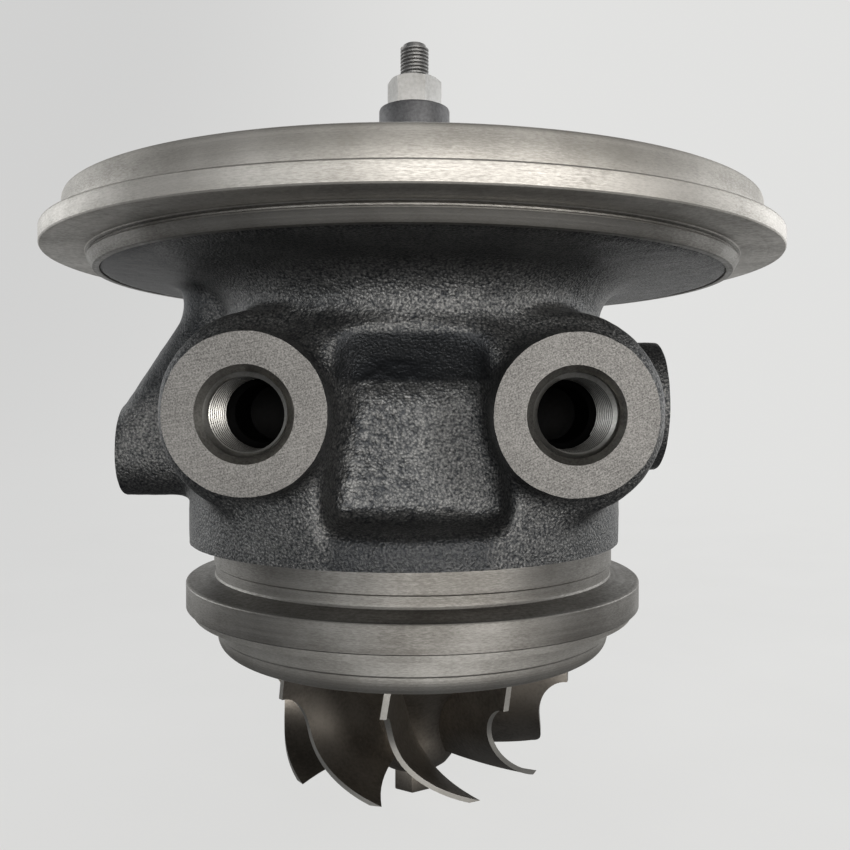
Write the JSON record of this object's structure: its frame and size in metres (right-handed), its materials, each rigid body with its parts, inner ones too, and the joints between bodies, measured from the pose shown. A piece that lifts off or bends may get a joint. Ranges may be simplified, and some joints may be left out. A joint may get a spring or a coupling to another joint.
{
  "type": "turbo cartridge",
  "caption": "Turbocharger centre cartridge: black cast bearing housing with wide compressor flange, front water ports, heat shield, turbine wheel and compressor wheel on a floating-bush shaft",
  "frame": {"origin": "shaft axis at the lower face of the turbine flange", "axes": "+Z along the shaft to the compressor end, -Y the way the two water ports face, +X to the oil drain"},
  "size_m": [0.148, 0.148, 0.159],
  "materials": {
    "casting": "black sand casting with turned faces",
    "sheet_steel": "pressed stainless sheet, satin",
    "turbine_alloy": "investment-cast nickel alloy, ground tips",
    "steel": "turned and ground",
    "ring_iron": "ground",
    "bronze": "turned",
    "spring_steel": "phosphated",
    "seal_rubber": "moulded",
    "wheel_alloy": "dark cast aluminium alloy",
    "nut_steel": "plain steel"
  },
  "bodies": {
    "housing": {"bearing_housing": "casting", "heat_shield": "sheet_steel", "turbine_seal_ring": "ring_iron", "bush_circlips": "spring_steel", "thrust_bearing": "bronze", "thrust_screws": "spring_steel", "oil_deflector": "sheet_steel", "seal_plate": "steel", "seal_plate_o_ring": "seal_rubber", "seal_plate_circlip": "spring_steel", "compressor_seal_ring": "ring_iron"},
    "rotor": {"turbine_wheel": "turbine_alloy", "rotor_shaft": "steel", "thrust_washer": "steel", "thrust_collar": "steel", "seal_sleeve": "steel", "compressor_wheel": "wheel_alloy", "shaft_nut": "nut_steel"},
    "low_bush": {"turbine_bush": "bronze"},
    "high_bush": {"compressor_bush": "bronze"}
  },
  "joints": [
    {"name": "rotor_spin", "type": "hinge", "parent": "housing", "child": "rotor", "pos_m": [0, 0, 0], "axis": [0, 0, 1], "continuous": true},
    {"name": "turbine_bush_float", "type": "hinge", "parent": "housing", "child": "low_bush", "pos_m": [0, 0, 0.018], "axis": [0, 0, 1], "continuous": true},
    {"name": "compressor_bush_float", "type": "hinge", "parent": "housing", "child": "high_bush", "pos_m": [0, 0, 0.0514], "axis": [0, 0, 1], "continuous": true}
  ]
}
